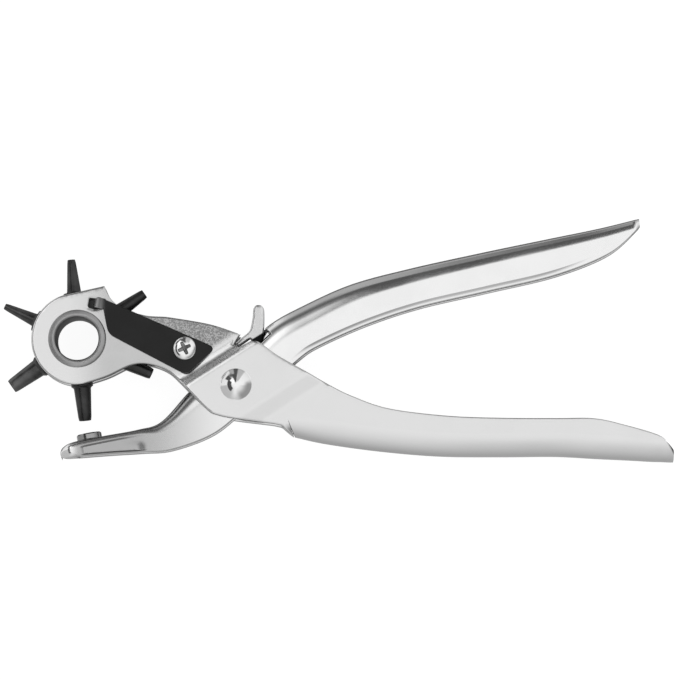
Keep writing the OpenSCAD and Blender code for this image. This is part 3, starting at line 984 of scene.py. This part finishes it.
def finish_metal(
    name, light, dark, rough, rough_spread, grain_mm, grain_depth,
    metallic=1.0, patches=None, brushed=None, shade=None,
):
    """A metal with a fine grain, faint cloudiness and, in patches, a coarser pressed texture whose colour is
    painted darker as shade, with darker painted shade over its pits.
    patches is a function that takes the nodes and a position and returns a mask. brushed is the angle that
    the grain runs at, in degrees. shade is a grey that the colour is mixed towards, the function that masks
    it,
    and how much rougher it is: painted shade on the cheeks, in the rivet's bore and on the catch, a painted
    highlight on the spring's nose, and the duller plating of the jaw."""
    material, t, shader = start_material(name, Metallic=metallic)
    where = t.new("ShaderNodeTexCoord").outputs["Object"]
    cloud = t.noise(where, 90.0, 4.0, 0.6, 2.0)
    fine_at = where
    if brushed:
        turned = t.new("ShaderNodeMapping", {"Rotation": (0, 0, -math.radians(brushed))})
        t.link(where, turned.inputs["Vector"])
        stretch = t.new("ShaderNodeMapping", {"Scale": (0.06, 1, 1)})
        t.link(turned.outputs[0], stretch.inputs["Vector"])
        fine_at = stretch.outputs[0]
    fine = t.noise(fine_at, 1000.0 / grain_mm, 2.0, 0.5, 5.0)
    tint = t.ramp(cloud, 0.35, 0.65)
    colour = t.mix(tint, dark, light)
    uneven = t.plus(t.times(cloud, 0.6), t.times(fine, 0.4))
    roughness = t.ramp(uneven, 0.35, 0.65, rough - rough_spread, rough + rough_spread, "LINEAR")
    height = t.times(fine, grain_depth)
    if patches:
        mask = patches(t, where)
        coarse = t.noise(where, 1000.0 / PIT_MM, 2.0, 0.5, 9.0)
        pits = t.ramp(coarse, 0.36, 0.6)
        height = t.plus(height, t.times(t.times(pits, mask), 0.05))
        pit_painted_shade = t.times(t.minus(1.0, pits), mask)
        # Painted shade: the pressed patches are darkened, and darker still over the low spots between their
        # pits.
        colour = t.mix(t.times(mask, 0.8), colour, grey(0.52))
        colour = t.mix(t.times(pit_painted_shade, 0.62), colour, grey(0.12))
        roughness = t.plus(roughness, t.times(mask, 0.14))
    # This mix paints shade on the cheeks, the bore and the catch, a highlight on the spring's nose, and the
    # jaw's duller plating.
    if shade:
        share = shade[1](t, where)
        colour = t.mix(share, colour, grey(shade[0]))
        roughness = t.plus(roughness, t.times(share, shade[2]))
    t.link(colour, shader.inputs["Base Color"])
    t.link(roughness, shader.inputs["Roughness"])
    bump = t.new("ShaderNodeBump", {"Strength": 1.0, "Distance": MM})
    t.link(height, bump.inputs["Height"])
    t.link(bump.outputs[0], shader.inputs["Normal"])
    return material


def start_material(name, **sockets):
    """A new material, its nodes and its shader."""
    material = bpy.data.materials.new(name)
    material.use_nodes = True
    t = Nodes(material.node_tree)
    shader = t.new("ShaderNodeBsdfPrincipled", {k.replace("_", " "): v for k, v in sockets.items()})
    t.link(shader.outputs[0], t.new("ShaderNodeOutputMaterial").inputs[0])
    return material, t, shader


def along(t, where, way, at=0.0):
    """Distance of a position along a direction in the middle plane, in millimetres."""
    n = t.new("ShaderNodeVectorMath", {1: (way[0] / MM, way[1] / MM, 0)}, operation="DOT_PRODUCT")
    t.link(where, n.inputs[0])
    return t.minus(n.outputs["Value"], at)


def between(t, value, low, high, soft):
    """A mask that is 1 from low to high, with soft ends."""
    return t.times(t.ramp(value, low - soft, low + soft), t.ramp(value, high - soft, high + soft, 1.0, 0.0))


def pressed_grain_and_painted_shade(t, where):
    """Where the cheeks' sheet was stretched, and is painted darker as shade: along the top of the neck and on
    the first joggle.
    """
    u = along(t, where, JOGGLE_WAY)
    x = along(t, where, (1, 0))
    above = along(t, where, (0.378, 0.926), 7.6)
    neck = t.times(between(t, x, -38.0, 6.0, 3.0), t.ramp(above, -0.5, 1.0))
    neck = t.times(neck, t.ramp(u, -15.6, -13.4, 1.0, 0.0))
    neck = t.times(neck, t.ramp(x, -34.0, -14.0, 0.7, 1.0))
    stripe = between(t, u, -10.5, -8.9, 0.9)
    return t.math("MAXIMUM", neck, t.times(stripe, 0.9))


def jaw_end(t, where):
    """The anvil lever's jaw, where the plating is duller, up to its polished nose."""
    x = along(t, where, (1, 0))
    return t.times(t.times(t.ramp(x, 2.0, -34.0), 0.9), t.ramp(x, -54.5, -51.2))


def cheek_clear_of_painted_shade(t, where):
    """Where the turret lever's cheek is painted lighter, clear of the painted shade that the darker base grey
    puts on its middle: on its disc, and from the first joggle on.
    """
    disc = t.ramp(along(t, where, (1, 0)), -41.0, -56.0)
    return t.math("MAXIMUM", disc, t.ramp(along(t, where, JOGGLE_WAY), -16.0, -13.0))


def catch_body(t, where):
    """The lock lever below its tab and hook, in the shade of its slot."""
    return t.ramp(along(t, where, (-0.527, 0.85)), 10.6, 10.1)


def nose_painted_highlight(t, where):
    """The leaf spring's nose, painted lighter grey as a highlight on its roll, fading to black towards the
    leaf.
    """
    return t.ramp(along(t, where, (1, 0)), -42.6, -46.4)


def bore(t, where):
    """Inside the hollow rivet, where its bore wall is painted dark as shade."""
    off = t.new("ShaderNodeVectorMath", {1: (turret.x * MM, turret.y * MM, 0)}, operation="SUBTRACT")
    t.link(where, off.inputs[0])
    flat = t.new("ShaderNodeVectorMath", {1: (1 / MM, 1 / MM, 0)}, operation="MULTIPLY")
    t.link(off.outputs[0], flat.inputs[0])
    length = t.new("ShaderNodeVectorMath", operation="LENGTH")
    t.link(flat.outputs[0], length.inputs[0])
    return t.ramp(length.outputs["Value"], 7.3, 6.95)


def paint(piece, *materials):
    """Gives a piece its materials. Each face keeps the kind that its skin gave it."""
    kinds = [p.material_index for p in piece.data.polygons]
    piece.data.materials.clear()
    for m in materials:
        piece.data.materials.append(m)
    piece.data.polygons.foreach_set("material_index", [min(k, len(materials) - 1) for k in kinds])


# ---- studio

def studio():
    """Soft white studio: bright overhead, narrow dark screens behind the tool, and a dimmer near side.
    Each card is placed by its turn, from the handles' side, and its tilt from overhead, in degrees."""
    world = bpy.data.worlds.new("studio")
    bpy.context.scene.world = world
    world.use_nodes = True
    t = Nodes(world.node_tree)
    way = t.new("ShaderNodeTexCoord").outputs["Generated"]
    split = t.new("ShaderNodeSeparateXYZ")
    t.link(way, split.inputs[0])
    x, y, z = split.outputs
    upright = t.math("MINIMUM", t.math("MAXIMUM", z, -1.0), 1.0)
    tilt = t.times(t.math("ARCCOSINE", upright), 180 / math.pi)
    turn = t.times(t.math("ARCTAN2", y, x), 180 / math.pi)

    def patch(turn_low, turn_high, tilt_low, tilt_high, soft_turn, soft_tilt):
        across = between(t, turn, turn_low, turn_high, soft_turn)
        return t.times(across, between(t, tilt, tilt_low, tilt_high, soft_tilt))

    def card(level, light, mask):
        rest = t.times(level, t.minus(1.0, mask))
        return t.plus(rest, t.times(mask, light))

    level = t.ramp(tilt, 10.0, 120.0, 0.96, 0.8)
    below = t.ramp(y, 0.02, -0.1)
    near_side = t.times(t.ramp(tilt, 8.0, 62.0), 0.95)
    level = card(level, 0.5, t.times(below, near_side))
    window = between(t, turn, -112.0, -83.0, 14.0)
    level = card(level, t.ramp(tilt, 12.0, 150.0, 0.92, 0.4), window)
    level = card(level, 0.3, patch(-72, 14, 55, 200, 12, 18))

    # Behind the tool: a dim wall, dark screens, a paler strip at their handles' side, and a lamp over them
    screen, dusk = 0.085, 0.12
    level = card(level, 0.42, patch(66, 118, 60, 130, 3, 6))
    level = card(level, screen, patch(84, 100, 13, 108, 3, 4))
    level = card(level, 0.5, patch(58, 82, 20, 150, 3, 6))
    level = card(level, screen, patch(96, 115, 13, 66, 3, 3))
    level = card(level, dusk, patch(112, 127, 48, 76, 2, 12))
    level = card(level, screen, patch(127, 152, 42, 74, 2, 3))
    level = card(level, 1.25, patch(114, 160, 16, 40, 6, 4))

    # Past the jaws, where the turn passes from 180 to -180 degrees, and low down behind
    past_jaws = t.math("MAXIMUM", patch(148, 200, 27, 52, 3, 2), patch(-200, -128, 26, 50, 5, 2))
    level = card(level, 0.07, past_jaws)
    level = card(level, dusk, patch(10, 172, 124, 200, 5, 5))
    seen = t.new("ShaderNodeLightPath").outputs["Is Camera Ray"]
    level = card(level, 0.97, seen)
    back = t.new("ShaderNodeBackground", {"Color": (1, 1, 1, 1)})
    t.link(level, back.inputs["Strength"])
    t.link(back.outputs[0], t.new("ShaderNodeOutputWorld").inputs[0])


def floor():
    """A plain pale floor, which reflections don't show."""
    size = 3.0
    mesh = bpy.data.meshes.new("floor")
    corners = [(-size, -size, 0), (size, -size, 0), (size, size, 0), (-size, size, 0)]
    mesh.from_pydata(corners, [], [(0, 1, 2, 3)])
    piece = place("floor", mesh)
    material = start_material(
        "floor_white", Base_Color=(0.3, 0.3, 0.3, 1), Roughness=1.0, Specular_IOR_Level=0.0,
        Emission_Color=(1, 1, 1, 1), Emission_Strength=0.9,
    )[0]
    paint(piece, material)
    piece.visible_glossy = False


def camera():
    """A long lens above the tool, leaning a little to its near side."""
    aim = Vector((34.1, 15.25, mid_z)) * MM
    lean = math.radians(4.8)
    away = 1.507
    lens = bpy.data.cameras.new("camera")
    lens.lens = 242
    lens.sensor_width = 36
    lens.clip_end = 20
    eye = place("camera", lens)
    eye.location = aim + away * Vector((0, -math.sin(lean), math.cos(lean)))
    eye.rotation_euler = (lean, 0, 0)
    bpy.context.scene.camera = eye


# ---- assembly

def put(piece, material, body, node, slot=None):
    """Paints a piece, has it ride on its body, and hides the CAD node that it stands for."""
    paint(piece, *(material if isinstance(material, tuple) else (material,)))
    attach(piece, body)
    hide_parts(node)


def build():
    # The plated steel's base grey is painted shade over the middle of the turret lever's cheek. Its disc and
    # the side past the first joggle are painted lighter.
    plated = finish_metal(
        "plated_steel", grey(0.61), grey(0.57), 0.2, 0.04, 0.35, 0.0014,
        patches=pressed_grain_and_painted_shade, shade=(0.78, cheek_clear_of_painted_shade, -0.02),
    )
    jaw_metal = finish_metal(
        "plated_lever", grey(0.93), grey(0.89), 0.16, 0.04, 0.35, 0.0012, shade=(0.45, jaw_end, 0.16)
    )
    bright = finish_metal("bright_rivet", grey(0.93), grey(0.88), 0.1, 0.03, 0.5, 0.0005)
    # The rivet's bore wall is painted dark as shade.
    lip = finish_metal("rivet_lip", grey(0.5), grey(0.38), 0.45, 0.08, 0.5, 0.004, shade=(0.1, bore, 0.1))
    cut_edge = finish_metal("cut_edge", grey(0.36), grey(0.24), 0.42, 0.1, 0.3, 0.006)
    # The screw's cross recess is painted darker as shade.
    recess_painted_shade = finish_metal("screw_recess_painted_shade", grey(0.46), grey(0.2), 0.35, 0.08, 0.7, 0.006)
    turned = finish_metal("turned_metal", grey(0.5), grey(0.38), 0.22, 0.07, 0.4, 0.002)
    # The leaf spring's black steel takes a painted highlight on its nose.
    black = finish_metal(
        "black_steel", grey(0.02), grey(0.014), 0.34, 0.06, 0.45, 0.003,
        metallic=0.6, shade=(0.42, nose_painted_highlight, 0.0),
    )
    catch = finish_metal(
        "catch_tab", grey(0.86), grey(0.7), 0.3, 0.06, 0.8, 0.003, shade=(0.015, catch_body, 0.2)
    )
    inside_steel = finish_metal("lever_inside", grey(0.86), grey(0.72), 0.42, 0.08, 0.5, 0.004)
    wheel = finish_metal("wheel_steel", grey(0.05), grey(0.03), 0.36, 0.06, 0.4, 0.003)
    wire = finish_metal("spring_wire", grey(0.5), grey(0.4), 0.25, 0.06, 0.4, 0.002)

    put(turret_lever(), (plated, cut_edge), "turret_lever", "turret_lever", "plated_steel")
    put(anvil_lever(), (jaw_metal, inside_steel), "anvil_lever", "anvil_lever", "plated_steel")
    put(turret_rivet(), lip, "turret_lever", "turret_rivet", "bright_rivet")
    washer = ring("turret_washer_turned", CHEEK_BORE, 11.0, -TURRET_OUT - WASHER, -TURRET_OUT, turret.xy)
    put(washer, plated, "turret_lever", "turret_washer", "plated_steel")
    put(pivot_rivet(), bright, "turret_lever", "pivot_rivet", "bright_rivet")
    washer = ring("pivot_washer_turned", PIN_BORE, 6.0, -PIVOT_OUT - WASHER, -PIVOT_OUT)
    put(washer, plated, "turret_lever", "pivot_washer", "plated_steel")
    sleeve = ring("pivot_sleeve_turned", PIN_BORE, 4.0, -6.2, 6.2)
    put(sleeve, bright, "turret_lever", "pivot_sleeve", "bright_rivet")
    paint(frame["nodes"]["punch_wheel"], wheel)
    for k, (node, worn) in enumerate(PUNCHES):
        oxide = finish_metal(
            f"black_punch_{k}", grey(0.075 * worn), grey(0.03 * worn), 0.3, 0.08, 0.9, 0.012,
            metallic=0.75, brushed=PUNCH_START - PUNCH_STEP * k,
        )
        put(punch(k), oxide, "turret", node, "black_steel")
    put(anvil(), turned, "anvil_lever", "anvil", "anvil_metal")
    put(index_screw(), (bright, recess_painted_shade), "turret_lever", "index_screw", "bright_rivet")
    put(lock_lever(), catch, "lock_lever", "lock_lever", "plated_steel")
    paint(frame["nodes"]["lock_pin"], bright)

    leaf = index_spring()
    paint(leaf, black)
    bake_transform(leaf)
    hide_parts("index_spring")

    coil = opening_spring()
    paint(coil, wire)
    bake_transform(coil)
    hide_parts("opening_spring")


bpy.context.scene.view_settings.view_transform = "Standard"
camera()
build()
studio()
floor()
